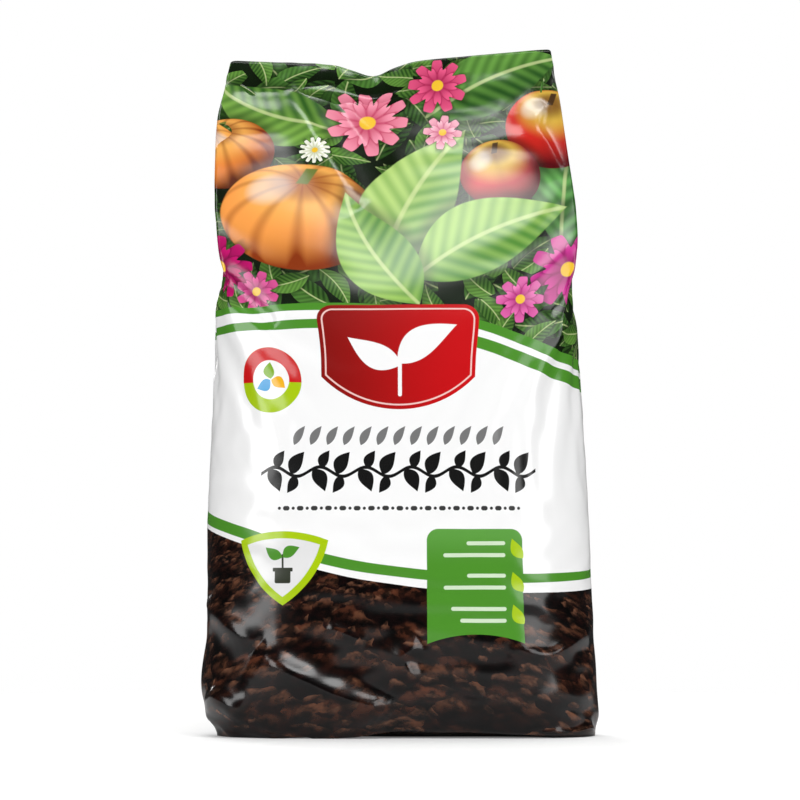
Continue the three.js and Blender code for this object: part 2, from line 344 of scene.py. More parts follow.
def quarter_section(row, side):
    """A quarter of one row's section, from the panel's middle to the gusset's: x and y of its columns."""
    up, inset = row_up[row], row_inset[row]
    reach = BASE_WIDTH / 2 + (WELD_WIDTH / 2 + side * WELD_SHIFT - BASE_WIDTH / 2) * up
    bulge, ear = (RIGHT_BULGE, RIGHT_EAR_INSET) if side > 0 else (LEFT_BULGE, LEFT_EAR_INSET)
    reach += through(bulge, up) - min(inset, ear)
    depth = BODY_DEPTH / 2 * through(DEPTH_PROFILE, min(up / WELD_START, 1)) - inset
    depth = max(depth, WELD_THICKNESS / 2)
    across = np.sin(np.linspace(0, math.pi / 2, SECTION_STEPS))
    deep = (1 - across ** through(SHOULDER_PROFILE, up)) ** (1 / through(TIP_PROFILE, up))
    length = np.concatenate([[0], np.cumsum(np.hypot(np.diff(reach * across), np.diff(depth * deep)))])
    share = np.arange(QUARTER + 1) / QUARTER
    open_x = np.interp(share * length[-1], length, reach * across)
    open_y = np.interp(share * length[-1], length, depth * deep)
    closing = np.clip(1 - (WELD_START - up) * BAG_HEIGHT / GUSSET_CLOSING, 0, 1)
    edge = GUSSET_EDGE + (1 - GUSSET_EDGE) * closing**3
    out = np.minimum(share * QUARTER / CREASE_COLUMN, 1)
    inwards = np.maximum((share * QUARTER - CREASE_COLUMN) / (QUARTER - CREASE_COLUMN), 0)
    tucked_x = reach * out - GUSSET_TUCK * math.sqrt(1 - closing**2) * inwards
    tucked_y = depth * (1 - (1 - edge) * out**2) * (1 - inwards)
    tucked = ease(up, GUSSET_START, GUSSET_FULL)
    x = open_x + (tucked_x - open_x) * tucked
    y = open_y + (tucked_y - open_y) * tucked
    return x * reach / x.max(), y


print("a row's quarter, mm:", [round(float(side.max()), 1) for side in quarter_section(ROWS // 2, 1)])

# %% Every row as a closed ring, from the middle of the back round by the left side
bag = np.zeros((ROWS + 1, COLUMNS + 1, 3))
for row in range(ROWS + 1):
    left_x, left_y = quarter_section(row, -1)
    right_x, right_y = quarter_section(row, 1)
    bag[row, :, 0] = np.concatenate([-left_x[:-1], -left_x[:0:-1], right_x[:-1], right_x[::-1]])
    bag[row, :, 1] = np.concatenate([left_y[:-1], -left_y[:0:-1], -right_y[:-1], right_y[::-1]])
    bag[row, :, 1] *= row_spread[row]
up = np.repeat(row_up[:, None], COLUMNS + 1, axis=1)
bag[:, :, 2] = up * BAG_HEIGHT + row_foot[:, None]
bag[:, :, 2] += (weld_top(bag[:, :, 0]) - BAG_HEIGHT) * ease(up, SAG_START, 1)
wave = WELD_WAVE * np.cos(2 * math.pi * (bag[:, :, 0] - WELD_SHIFT - NOTCH_AT) / WELD_WIDTH)
bag[:, :, 1] += (wave + TOP_LEAN) * ease(up, WAVE_START, 1)
print("form, mm:", np.round(np.ptp(bag.reshape(-1, 3), axis=0), 1))

# %% Put the form on the grid, and weld the back seam and both ends
MERGE_GAP = 0.004
bag[:, :, :2] -= (bag[:, :, :2].min((0, 1)) + bag[:, :, :2].max((0, 1))) / 2
film.data.vertices.foreach_set("co", (bag[film_row, film_column] * MM).ravel())
bpy.ops.object.mode_set(mode="EDIT")
bpy.ops.mesh.select_all(action="SELECT")
bpy.ops.mesh.remove_doubles(threshold=MERGE_GAP * MM)
bpy.ops.object.mode_set(mode="OBJECT")


def film_places():
    """Row and column of each point of the film."""
    places = []
    for name in ("film_row", "film_column"):
        values = np.zeros(len(film.data.vertices), int)
        film.data.attributes[name].data.foreach_get("value", values)
        places.append(values)
    return places[0], places[1] % COLUMNS


print("film points:", len(film.data.vertices))

# %% [markdown]
# ## Wrinkles
# Film can't stretch, so wherever the bag's form leaves less room than the film needs, it buckles. Such
# wrinkles could be sculpted, but a cloth simulation finds them where real film has them: its springs
# rest at the lengths of the flat, printed tube, the compost pushes from inside as a light pressure, and
# the base and the weld are held. Only the wrinkles are kept: the slow drift is taken out again, and
# each row is drawn back to its width, so the bag keeps its size and outline.

# %% The film as cloth
FORMING_STEPS = 14
SETTLING_STEPS = 26
GIRTH_SLACK = 1.015
LENGTH_SLACK = 1.01
HOLD_WEIGHT = 0.5
FILM_CLOTH = {
    "vertex_group_mass": "held",
    "pin_stiffness": 0.6,
    "quality": 6,
    "mass": 0.02,
    "tension_stiffness": 40,
    "compression_stiffness": 40,
    "shear_stiffness": 20,
    "bending_stiffness": 3.0,
    "tension_damping": 2,
    "compression_damping": 2,
    "shear_damping": 2,
    "bending_damping": 0.2,
    "air_damping": 2,
    "use_pressure": True,
    "uniform_pressure_force": 0.3,
}
print("steps of the simulation:", FORMING_STEPS + SETTLING_STEPS)


# %% Form the flat tube into the bag
def simulate_wrinkles(formed_points):
    """Forms the flat tube into the bag, and returns where its points come to rest."""
    rows, columns = film_places()
    angle = 2 * math.pi * columns / COLUMNS
    radius = FILM_GIRTH * GIRTH_SLACK / (2 * math.pi)
    row_length = BAG_HEIGHT / (WALL_ROWS + WELD_ROWS) * LENGTH_SLACK
    height = (rows - BASE_ROWS) * row_length
    tube = np.stack([-radius * np.sin(angle), radius * np.cos(angle), height], axis=1)
    film.data.vertices.foreach_set("co", (tube * MM).ravel())
    film.shape_key_add(name="flat_tube")
    formed = film.shape_key_add(name="formed")
    formed.data.foreach_set("co", (formed_points * MM).ravel())
    held = film.vertex_groups.new(name="held")
    pinned = (rows < BASE_ROWS + 1) | (rows >= ROWS - WELD_ROWS)
    for index, pin in enumerate(pinned):
        held.add([index], 1.0 if pin else HOLD_WEIGHT, "REPLACE")
    cloth = film.modifiers.new("cloth", "CLOTH")
    for name, value in FILM_CLOTH.items():
        setattr(cloth.settings, name, value)
    cloth.settings.effector_weights.gravity = 0
    cloth.collision_settings.use_collision = False
    for step, value in ((1, 0.0), (FORMING_STEPS, 1.0)):
        formed.value = value
        formed.keyframe_insert("value", frame=step)
    for step in range(1, FORMING_STEPS + SETTLING_STEPS + 1):
        scene.frame_set(step)
    shape = film.evaluated_get(bpy.context.evaluated_depsgraph_get()).to_mesh()
    rested = np.array([v.co for v in shape.vertices]) / MM
    scene.frame_set(1)
    film.modifiers.remove(cloth)
    film.shape_key_clear()
    return rested


start = np.array([v.co for v in film.data.vertices]) / MM
rested = simulate_wrinkles(start)
print("largest drift, mm:", np.round(np.abs(rested - start).max(0), 1))

# %% Keep the wrinkles, without the drift
WRINKLE_REACH = 30
WRINKLE_SHARE = 0.7
WRINKLE_CAP = 5.0


def smoothed(field, passes):
    """A field over rows and columns, blurred over its neighbours; the columns close round the bag."""
    for _ in range(passes):
        field = (np.roll(field, 1, 1) + 2 * field + np.roll(field, -1, 1)) / 4
        padded = np.concatenate([field[:1], field, field[-1:]])
        field = (padded[:-2] + 2 * field + padded[2:]) / 4
    return field


rows, columns = film_places()
drift = np.zeros((ROWS + 1, COLUMNS, 3))
drift[rows, columns] = rested - start
wrinkles = WRINKLE_SHARE * (drift - smoothed(drift, WRINKLE_REACH))
size = np.linalg.norm(wrinkles, axis=2, keepdims=True) + 1e-9
wrinkles *= WRINKLE_CAP * np.tanh(size / WRINKLE_CAP) / size
wrinkled = start + wrinkles[rows, columns]
for side in (-1, 1):
    before, after = np.zeros(ROWS + 1), np.zeros(ROWS + 1)
    np.maximum.at(before, rows, side * start[:, 0])
    np.maximum.at(after, rows, side * wrinkled[:, 0])
    wrinkled[:, 0] *= np.where(side * wrinkled[:, 0] > 0, (before / after)[rows], 1)
film.data.vertices.foreach_set("co", (wrinkled * MM).ravel())
film.data.update()
print("highest wrinkle before its cap, mm:", round(float(size.max()), 2))

# %% [markdown]
# ## Finish the film
# The gussets were creased on a machine, and the weld's top edge was cut, so both stay sharp under the
# subdivision. Extra rows of points beside them would do that too, but edge creases need none.
# Everywhere else two levels of subdivision round the facets off, and smooth shading lets the gloss run
# over the folds.

# %% Sharp gussets and top edge, subdivision, smooth shading
HALF_WAY = 2 * QUARTER
GUSSET_COLUMNS = [
    CREASE_COLUMN, HALF_WAY - CREASE_COLUMN, HALF_WAY + CREASE_COLUMN, COLUMNS - CREASE_COLUMN
]
INNER_COLUMNS = [QUARTER, 3 * QUARTER]
OUTER_CREASE = 1.0
INNER_CREASE = 0.5
CREASE_FULL = 0.7

rows, columns = film_places()
ends = np.array([edge.vertices for edge in film.data.edges])
upright = columns[ends[:, 0]] == columns[ends[:, 1]]
creased = ease(row_up[rows[ends]].min(1), GUSSET_START, CREASE_FULL) * upright
crease = np.where(np.isin(columns[ends[:, 0]], GUSSET_COLUMNS), OUTER_CREASE * creased, 0)
crease = np.where(np.isin(columns[ends[:, 0]], INNER_COLUMNS), INNER_CREASE * creased, crease)
crease[(rows[ends] == ROWS).all(1)] = 1.0
film.data.attributes.new("crease_edge", "FLOAT", "EDGE").data.foreach_set("value", crease)

bpy.ops.object.select_all(action="DESELECT")
film.select_set(True)
bpy.context.view_layer.objects.active = film
smooth = film.modifiers.new("smooth", "SUBSURF")
smooth.levels = smooth.render_levels = 2
bpy.ops.object.modifier_apply(modifier=smooth.name)
bpy.ops.object.shade_smooth()
print("film faces:", len(film.data.polygons))

# %% [markdown]
# ## Folds from handling
# Besides the wrinkles, a filled bag keeps a few single folds where it was gripped and set down. A
# simulation would need the hands for these, so they are drawn: each is a ridge or a valley along a bent
# line, steep on one side and gentle on the other. They are pressed into the fine mesh along its
# normals, so that they throw real highlights. The front edge of the base is lifted a little, and what
# would sink into the floor is laid on it.

# %% Press the folds in
# Panel, places along the fold as (x, z), its height and the widths of its left and right flanks,
# all in millimetres
FOLDS = [
    ("front", [(-70, 384), (-48, 346), (-22, 304)], 3.6, 4.5, 10),
    ("front", [(-46, 386), (-28, 356), (-4, 326)], -2.2, 4, 9),
    ("front", [(84, 368), (80, 353), (87, 340), (94, 324)], 2.8, 3, 7),
    ("front", [(-106, 270), (-90, 254), (-70, 236)], -2.8, 4.5, 10),
    ("front", [(108, 268), (96, 256), (84, 240)], -2.0, 4.5, 10),
    ("front", [(-111, 80), (-97, 66), (-83, 51)], 4.8, 7.5, 9),
    ("front", [(-4, 11), (-45, 30), (-82, 49)], 8.5, 15, 8.5),
    ("front", [(12, 55), (2, 47), (4, 40), (9, 29)], 4.6, 5, 8),
    ("front", [(62, 53), (82, 48), (94, 53), (112, 65)], 3.4, 3, 7),
    ("front", [(-108, 28), (-98, 20), (-86, 14)], 4.2, 5, 10),
    ("front", [(-41, 64), (-31, 60), (-20, 55)], 2.2, 3, 5),
    ("back", [(66, 384), (44, 344), (14, 292)], 3.4, 11, 5),
    ("back", [(-68, 380), (-52, 344), (-34, 308)], -2.4, 4, 9),
    ("back", [(106, 250), (90, 236), (68, 222)], -2.6, 10, 4.5),
    ("back", [(-106, 268), (-90, 254), (-72, 240)], -2.6, 4.5, 10),
    ("back", [(80, 56), (44, 36), (6, 16)], 6.0, 15, 9),
    ("back", [(-106, 70), (-84, 54), (-62, 42)], 3.6, 5, 8),
]
FOLD_STEPS = 40
FOLD_SHAPE = 1.6
FACING_FROM, FACING_TO = 0.05, 0.5
BASE_LIFT = 3.4
BASE_LIFT_AT = 22.0
BASE_LIFT_WIDTH = 58.0
BASE_LIFT_FRONT = (15.0, 35.0)
BASE_LIFT_TOP = 40.0

points = np.array([v.co for v in film.data.vertices]) / MM
normals = np.array([n.vector for n in film.data.vertex_normals])
press = np.zeros(len(points))
for panel, places, height, left_foot, right_foot in FOLDS:
    stations = np.linspace(0, 1, len(places))
    along = np.linspace(0, 1, FOLD_STEPS)
    line = np.stack([through(list(zip(stations, axis)), along) for axis in zip(*places)], axis=1)
    heading = np.gradient(line, axis=0)
    offset = points[:, None, [0, 2]] - line[None]
    nearest = np.hypot(offset[:, :, 0], offset[:, :, 1]).argmin(1)
    offset = offset[np.arange(len(points)), nearest]
    away = np.hypot(offset[:, 0], offset[:, 1])
    leftward = heading[nearest, 0] * offset[:, 1] - heading[nearest, 1] * offset[:, 0]
    foot = np.where(leftward > 0, left_foot, right_foot)
    tapered = 1 - (2 * along[nearest] - 1) ** 4
    facing = ease(normals[:, 1] * (-1 if panel == "front" else 1), FACING_FROM, FACING_TO)
    press += height * tapered * np.exp(-((away / foot) ** FOLD_SHAPE)) * facing
points += press[:, None] * normals
lift = np.exp(-(((points[:, 0] - BASE_LIFT_AT) / BASE_LIFT_WIDTH) ** 4))
lift *= ease(-points[:, 1], *BASE_LIFT_FRONT) * ease(-points[:, 2], -BASE_LIFT_TOP, -BASE_RADIUS)
points[:, 2] += BASE_LIFT * lift
points[:, 2] = np.maximum(points[:, 2], 0)
film.data.vertices.foreach_set("co", (points * MM).ravel())
film.data.update()
print("folds:", len(FOLDS), "highest, mm:", round(float(np.abs(press).max()), 1))

# %% [markdown]
# ## The print: a frame for its motifs
# Bags like this are printed by rollers, with flat inks and simple pictures. Here the material's nodes
# draw the print, so it stays sharp from near and far. Each motif is a node group that works in a small
# frame of its own, about one unit in size, and gives its colour, the share that it covers, and a soft
# shade around it that sets it off from what lies behind. An image would be the other way, but this
# print is worked out, not painted.

# %% Film places in millimetres
film_print = bpy.data.materials.new("printed_polyethylene")
film_print.use_nodes = True
tree = film_print.node_tree
tree.nodes.clear()

# The back repeats the front, mirrored at the middle of each gusset, so every printed field closes
# round the bag.
WALL_ROW = (WELD_START * BAG_HEIGHT - BASE_RADIUS) / WALL_ROWS
sheet = node(tree, "SeparateXYZ", [node(tree, "UVMap", uv_map="film")])
along = calc(tree, "MULTIPLY_ADD", sheet.outputs[0], FILM_GIRTH, -FILM_GIRTH / 4)
folded = calc(tree, "PINGPONG", along, FILM_GIRTH / 2)
across = calc(tree, "SUBTRACT", folded, FILM_GIRTH / 4)
low_row = BASE_RADIUS - (BASE_ROWS + TURN_ROWS) * WALL_ROW
upward = calc(tree, "MULTIPLY_ADD", sheet.outputs[1], ROWS * WALL_ROW, low_row)
place = node(tree, "CombineXYZ", [across, upward])
print("film between two rows of the wall, mm:", round(WALL_ROW, 2))

# %% Helpers for motifs
SHADOW_INK = linear("#0b1405")
SHADOW_SHARE = 0.55
INK_EDGE = 0.15


def new_motif(name, **inputs):
    """Starts a motif's node group; gives the group, its inputs, and x and y of its place."""
    group = bpy.data.node_groups.new(name, "ShaderNodeTree")
    sockets = group.interface
    for socket, value in ({"X": 0.0, "Y": 0.0} | inputs).items():
        kind = "NodeSocketColor" if isinstance(value, list) else "NodeSocketFloat"
        sockets.new_socket(socket, in_out="INPUT", socket_type=kind).default_value = value
    for socket, kind in (("Colour", "Color"), ("Cover", "Float"), ("Shade", "Float")):
        sockets.new_socket(socket, in_out="OUTPUT", socket_type="NodeSocket" + kind)
    given = group.nodes.new("NodeGroupInput").outputs
    return group, given, given["X"], given["Y"]


def end_motif(group, colour, outside, edge, reach):
    """Ends a motif: outside is how far a place lies outside its outline, edge how soft its outline is,
    and reach how far its shade goes."""
    cover = ramp(group, outside, edge, -edge)
    shade = ramp(group, outside, reach, -edge)
    ended = group.nodes.new("NodeGroupOutput")
    for socket, source in (("Colour", colour), ("Cover", cover), ("Shade", shade)):
        group.links.new(source.outputs[0], ended.inputs[socket])


def own_frame(at, size, turn=0.0, stretch=1.0, source=place):
    """x and y in a motif's own frame, from its centre and size in millimetres and its turn in degrees."""
    cosine, sine = math.cos(math.radians(turn)), math.sin(math.radians(turn))
    offset = vector_calc(tree, "SUBTRACT", source, (*at, 0))
    own = []
    for axis, length in (((cosine, sine, 0), size), ((-sine, cosine, 0), size * stretch)):
        scaled = tuple(part / length for part in axis)
        own.append(vector_calc(tree, "DOT_PRODUCT", offset, scaled))
    return own


def printed(under, group, own, **inputs):
    """Prints a motif, and its soft shade, over a colour."""
    motif = node(tree, "Group", {"X": own[0], "Y": own[1], **inputs}, node_tree=group)
    shaded = calc(tree, "MULTIPLY", motif.outputs["Shade"], SHADOW_SHARE)
    under = blend(tree, shaded, under, SHADOW_INK)
    return blend(tree, motif.outputs["Cover"], under, motif.outputs["Colour"])


def inked(under, outside, ink):
    """Prints one flat ink where outside, in millimetres, is below zero."""
    cover = ramp(tree, outside, INK_EDGE, -INK_EDGE)
    return blend(tree, cover, under, ink)


# %% [markdown]
# ## Leaves, blossoms and fruit
# The picture field shows garden plants in the warm and green colours that such bags have: broad leaves,
# double blossoms and round, ribbed fruit. They could be modelled and rendered to an image, but a print
# this small needs only their outlines and some light. Both come from short formulas: a leaf narrows to
# both ends, a blossom's radius swings with the angle, a fruit is a ball with ribs that meet at its
# stalk.

# %% A broad leaf, from its stalk at x = -1 to its tip at x = 1
LEAF_BEND = 0.14
LEAF_HALF_WIDTH = 0.42
LEAF_NARROWING = 0.15
LEAF_LEAST_WIDTH = 0.1
VEIN_SLANT = 0.9
VEIN_PITCH = 0.1
# From and to, and the share of light at each
LEAF_LIGHT = (-0.22, 0.22, 0.25, 0.75)
VEIN_LIGHT = (0.0, VEIN_PITCH, -0.22, 0.22)
MIDRIB = (0.035, 0.01, 0.0, 0.6)
leaf, given, x, y = new_motif("leaf", Light=linear("#8db553"), Dark=linear("#2c5a20"))
squared = calc(leaf, "MULTIPLY", x, x)
ends = calc(leaf, "SUBTRACT", 1.0, squared)
bent = calc(leaf, "MULTIPLY_ADD", ends, -LEAF_BEND, y)
aside = calc(leaf, "ABSOLUTE", bent)
taper = calc(leaf, "MULTIPLY_ADD", x, -LEAF_NARROWING, LEAF_HALF_WIDTH)
taper = calc(leaf, "MAXIMUM", taper, LEAF_LEAST_WIDTH)
half = calc(leaf, "MULTIPLY", ends, taper)
outside = calc(leaf, "SUBTRACT", aside, half)
slanted = calc(leaf, "MULTIPLY_ADD", aside, -VEIN_SLANT, x)
vein = calc(leaf, "PINGPONG", slanted, VEIN_PITCH)
lit = ramp(leaf, bent, *LEAF_LIGHT)
puffed = ramp(leaf, vein, *VEIN_LIGHT)
bright = calc(leaf, "ADD", lit, puffed)
flesh = blend(leaf, bright, given["Dark"], given["Light"])
rib = ramp(leaf, aside, *MIDRIB)
flesh = blend(leaf, rib, flesh, linear("#d5e2a0"))
end_motif(leaf, flesh, outside, edge=0.01, reach=0.22)
print("nodes of a leaf:", len(leaf.nodes))

# %% A double blossom, one unit in radius
# Reach of the outer and the inner petals, their shift by a share of a petal, and their brightness
PETAL_LAYERS = [(0.97, 0.0, 0.8), (0.66, 0.5, 1.0)]
PETAL_HALF = 0.34
PETAL_NOTCH = 0.6
PETAL_EDGE = 0.012
# From and to, and the share of light or shadow at each
PETAL_FOLD = (0.0, 0.3, 0.4, 1.0)
PETAL_SHADOW = (0.14, 0.0, 0.0, 0.6)
HEART_EDGE = (0.21, 0.17)
blossom, given, x, y = new_motif(
    "blossom", Petal=linear("#e8457f"), Deep=linear("#7d0a4a"), Heart=linear("#f2c230"), Petals=9.0
)
centred = node(blossom, "CombineXYZ", [x, y])
out = vector_calc(blossom, "LENGTH", centred)
angle = calc(blossom, "ARCTAN2", y, x)
share = calc(blossom, "MULTIPLY", angle, 1 / (2 * math.pi))
counted = calc(blossom, "MULTIPLY", share, given["Petals"])
colour, outline = given["Deep"], None
for reach, shift, tone in PETAL_LAYERS:
    shifted = calc(blossom, "ADD", counted, shift)
    inner = calc(blossom, "PINGPONG", shifted, 0.5)
    rim = ramp(blossom, inner, 0.0, PETAL_HALF, PETAL_NOTCH * reach, reach)
    outside = calc(blossom, "SUBTRACT", out, rim)
    outline = outline or outside
    rise = ramp(blossom, out, 0.1, reach, 0.2 * tone, tone)
    fold = ramp(blossom, inner, *PETAL_FOLD)
    bright = calc(blossom, "MULTIPLY", rise, fold)
    petal = blend(blossom, bright, given["Deep"], given["Petal"])
    shadow = ramp(blossom, outside, *PETAL_SHADOW)
    colour = blend(blossom, shadow, colour, given["Deep"])
    cover = ramp(blossom, outside, PETAL_EDGE, -PETAL_EDGE)
    colour = blend(blossom, cover, colour, petal)
heart = ramp(blossom, out, *HEART_EDGE)
colour = blend(blossom, heart, colour, given["Heart"])
end_motif(blossom, colour, outline, edge=0.015, reach=0.3)
print("nodes of a blossom:", len(blossom.nodes))

# %% A round fruit with its stalk end tilted to the viewer, one unit in radius: its ball and ribs
STALK_TILT = math.radians(48)
GROOVE_HALF = 0.26
fruit, given, x, y = new_motif(
    "fruit", Skin=linear("#f59645"), Blush=linear("#f8b85c"), Deep=linear("#7a2c08"),
    Stalk=linear("#6c7a35"), Ribs=0.4, Count=11.0,
)
centred = node(fruit, "CombineXYZ", [x, y])
out = vector_calc(fruit, "LENGTH", centred)
outside = calc(fruit, "SUBTRACT", out, 1.0)
squared = calc(fruit, "MULTIPLY", out, out)
front = calc(fruit, "SUBTRACT", 1.0, squared)
front = calc(fruit, "MAXIMUM", front, 0.0)
near = calc(fruit, "SQRT", front)
leaned = calc(fruit, "MULTIPLY", near, math.sin(STALK_TILT))
height = calc(fruit, "MULTIPLY_ADD", y, math.cos(STALK_TILT), leaned)
facing = calc(fruit, "MULTIPLY", near, math.cos(STALK_TILT))
facing = calc(fruit, "MULTIPLY_ADD", y, -math.sin(STALK_TILT), facing)
turned = calc(fruit, "ARCTAN2", x, facing)
turned = calc(fruit, "MULTIPLY", turned, 1 / (2 * math.pi))
counted = calc(fruit, "MULTIPLY", turned, given["Count"])
crest = calc(fruit, "PINGPONG", counted, 0.5)
groove = ramp(fruit, crest, GROOVE_HALF, 0.0)
groove = calc(fruit, "MULTIPLY", groove, given["Ribs"])
print("grooves' half width, of a rib:", GROOVE_HALF)

# %% The fruit's light and skin
LIGHT_FROM = (-0.42, 0.5, 0.76)
BALL_LIGHT = (-0.35, 0.85)
# From and to, and the share of colour at each
BLUSH = (0.45, 0.95, 0.0, 0.85)
DIMPLE = (0.86, 1.0, 0.0, 0.75)
SHINE = (0.92, 1.0, 0.0, 0.4)
ball = node(fruit, "CombineXYZ", [x, y, near])
light = vector_calc(fruit, "DOT_PRODUCT", ball, LIGHT_FROM)
bright = ramp(fruit, light, *BALL_LIGHT)
bright = calc(fruit, "SUBTRACT", bright, groove)
blushed = ramp(fruit, height, *BLUSH)
skin = blend(fruit, blushed, given["Skin"], given["Blush"])
skin = blend(fruit, bright, given["Deep"], skin)
dimple = ramp(fruit, height, *DIMPLE)
skin = blend(fruit, dimple, skin, given["Deep"])
shine = ramp(fruit, light, *SHINE)
skin = blend(fruit, shine, skin, WHITE)
print("nodes of a fruit without its stalk:", len(fruit.nodes))

# %% The fruit's stalk
STALK_LEAN = 0.35
STALK_EDGE = (0.085, 0.06)
STALK_FOOT = (-0.06, -0.02)
STALK_END = (0.27, 0.24)
above = calc(fruit, "SUBTRACT", y, math.cos(STALK_TILT))
lean = calc(fruit, "MULTIPLY_ADD", above, -STALK_LEAN, x)
thin = calc(fruit, "ABSOLUTE", lean)
stalk = ramp(fruit, thin, *STALK_EDGE)
base = ramp(fruit, above, *STALK_FOOT)
tip = ramp(fruit, above, *STALK_END)
stalk = calc(fruit, "MULTIPLY", stalk, base)
stalk = calc(fruit, "MULTIPLY", stalk, tip)
skin = blend(fruit, stalk, skin, given["Stalk"])
end_motif(fruit, skin, outside, edge=0.012, reach=0.3)
print("nodes of a fruit:", len(fruit.nodes))

# %% [markdown]
# ## The picture field
# Behind everything lies foliage. Its leaves could be placed one by one, but a pattern fills the field
# sooner: a leaf in each cell of a Voronoi pattern, turned at random by the cell's own colour, in three
# layers from dark to light. The large plants are then printed over it one by one.

# %% Foliage
# Size of a cell in millimetres, shift of the layer, light and dark ink
FOLIAGE = [
    (30, (3, 11), "#3f6b2a", "#0f2409"),
    (25, (57, 23), "#4f8034", "#16330d"),
    (21, (91, 70), "#67983f", "#1d4212"),
]
LEAF_TO_CELL = 0.66
SCATTER = 0.85
picture = node(tree, "RGB")
picture.outputs[0].default_value = linear("#0d1c08")
for cell, shift, light_ink, dark_ink in FOLIAGE:
    moved = vector_calc(tree, "ADD", place, (*shift, 0))
    sown = {"Vector": moved, "Scale": 1 / cell, "Randomness": SCATTER}
    cells = node(tree, "TexVoronoi", sown, voronoi_dimensions="2D")
    offset = vector_calc(tree, "SUBTRACT", moved, cells.outputs["Position"])
    drawn = node(tree, "SeparateColor", [cells.outputs["Color"]])
    own = []
    for ahead in (0.0, math.pi / 2):
        spin = calc(tree, "MULTIPLY_ADD", drawn, 2 * math.pi, ahead)
        parts = [calc(tree, kind, spin) for kind in ("COSINE", "SINE")]
        axis = node(tree, "CombineXYZ", parts)
        turned = vector_calc(tree, "DOT_PRODUCT", offset, axis)
        own.append(calc(tree, "MULTIPLY", turned, 1 / (LEAF_TO_CELL * cell)))
    picture = printed(picture, leaf, own, Light=linear(light_ink), Dark=linear(dark_ink))
print("layers of foliage:", len(FOLIAGE))

# %% Plants over the foliage
# Motif, centre and size in millimetres, turn in degrees, height for its width, inks and numbers
APPLE = {
    "Skin": "#c81f26", "Blush": "#d9c04a", "Deep": "#560810", "Stalk": "#4a3218", "Ribs": 0.1, "Count": 5
}
DAISY = {"Petal": "#fbfbf4", "Deep": "#b9c08c", "Petals": 13}
PLANTS = [
    (leaf, (-64, 372), 40, 160, 1, {"Light": "#7fae4b", "Dark": "#2a5a1e"}),
    (leaf, (58, 380), 46, 20, 1, {"Light": "#6aa045", "Dark": "#214d1a"}),
    (leaf, (96, 322), 44, 75, 1, {"Light": "#73b761", "Dark": "#265a22"}),
    (fruit, (84, 352), 25, -12, 0.95, APPLE | {"Skin": "#d2281f"}),
    (fruit, (54, 326), 22, 10, 0.95, APPLE),
    (fruit, (-88, 342), 26, 14, 0.84, {"Skin": "#ee8a38", "Deep": "#7a2c08"}),
    (fruit, (-50, 302), 41, -6, 0.82, {"Skin": "#f9a14c", "Deep": "#8a340a"}),
    (leaf, (14, 312), 48, 62, 1.15, {"Light": "#b9d87e", "Dark": "#5c9638"}),
    (leaf, (48, 284), 46, 28, 1.1, {"Light": "#a5cc66", "Dark": "#4d8a31"}),
    (leaf, (-8, 282), 40, 118, 1.1, {"Light": "#9cc65d", "Dark": "#4a842f"}),
    (blossom, (-16, 366), 22, 8, 1, {"Petal": "#f79ab0", "Deep": "#b8204f", "Petals": 10}),
    (blossom, (22, 384), 18, 30, 1, {"Petal": "#ee5b8a", "Deep": "#9c1244", "Petals": 9}),
    (blossom, (24, 354), 11, 12, 1, {"Petal": "#f4b6c6", "Deep": "#c2456f", "Petals": 8}),
    (blossom, (90, 268), 22, 0, 1, {"Petal": "#d3379a", "Deep": "#860b55", "Petals": 8}),
    (blossom, (66, 250), 14, 25, 1, {"Petal": "#e86bb4", "Deep": "#a31268", "Petals": 8}),
    (blossom, (-96, 272), 20, 18, 1, {"Petal": "#c6106d", "Deep": "#6a0438", "Petals": 9}),
    (blossom, (-76, 256), 13, 0, 1, {"Petal": "#e25a9d", "Deep": "#8f1054", "Petals": 8}),
    (blossom, (106, 300), 9, 0, 1, DAISY),
    (blossom, (-104, 306), 9, 10, 1, DAISY),
    (blossom, (-42, 344), 8, 5, 1, DAISY),
]
for motif, at, size, turn, stretch, numbers in PLANTS:
    inks = {name: linear(value) if isinstance(value, str) else value for name, value in numbers.items()}
    picture = printed(picture, motif, own_frame(at, size, turn, stretch), **inks)
print("plants:", len(PLANTS))

# %% [markdown]
# ## Soil
# The lower field is printed as loose soil that comes nearer towards the base, so its clumps grow
# downwards. Noise alone would give clouds without edges. So the places are first drawn together as in a
# perspective view; then each cell of a Voronoi pattern is a clump, lit on its upper side and lost in
# the dark below, with noise to break its outline.

# %% Soil field
CLUMP_NEAR = 20.0
CLUMP_SHRINK = 0.115
CLUMP_LEAST = 2.0
CLUMP_FLATNESS = 1.25
RAGGEDNESS = (1.0, 0.7, 0)
ROUGH_SCALE = 1.1
GRAIN_SCALE = 2.2
CLUMP_EDGE = (0.62, 0.42)
LIT_SIDE = (0.2, 1, 0)
# From and to, and the strength at each
MOTTLE = (0.36, 0.66, 0.2, 1.3)
CLUMP_STRENGTH = (0.0, 1.0, 0.15, 1.0)
spread = calc(tree, "MULTIPLY_ADD", upward, -CLUMP_SHRINK, CLUMP_NEAR)
spread = calc(tree, "MAXIMUM", spread, CLUMP_LEAST)
soil_x = calc(tree, "DIVIDE", across, spread)
depth = calc(tree, "LOGARITHM", spread, math.e)
soil_y = calc(tree, "MULTIPLY", depth, -CLUMP_FLATNESS / CLUMP_SHRINK)
ground = node(tree, "CombineXYZ", [soil_x, soil_y])
bumps = {"Vector": ground, "Scale": ROUGH_SCALE, "Detail": 3.0}
rough = node(tree, "TexNoise", bumps, noise_dimensions="2D")
ragged = vector_calc(tree, "MULTIPLY_ADD", rough.outputs["Color"], RAGGEDNESS, ground)
soil = node(tree, "RGB")
soil.outputs[0].default_value = linear("#0a0202")
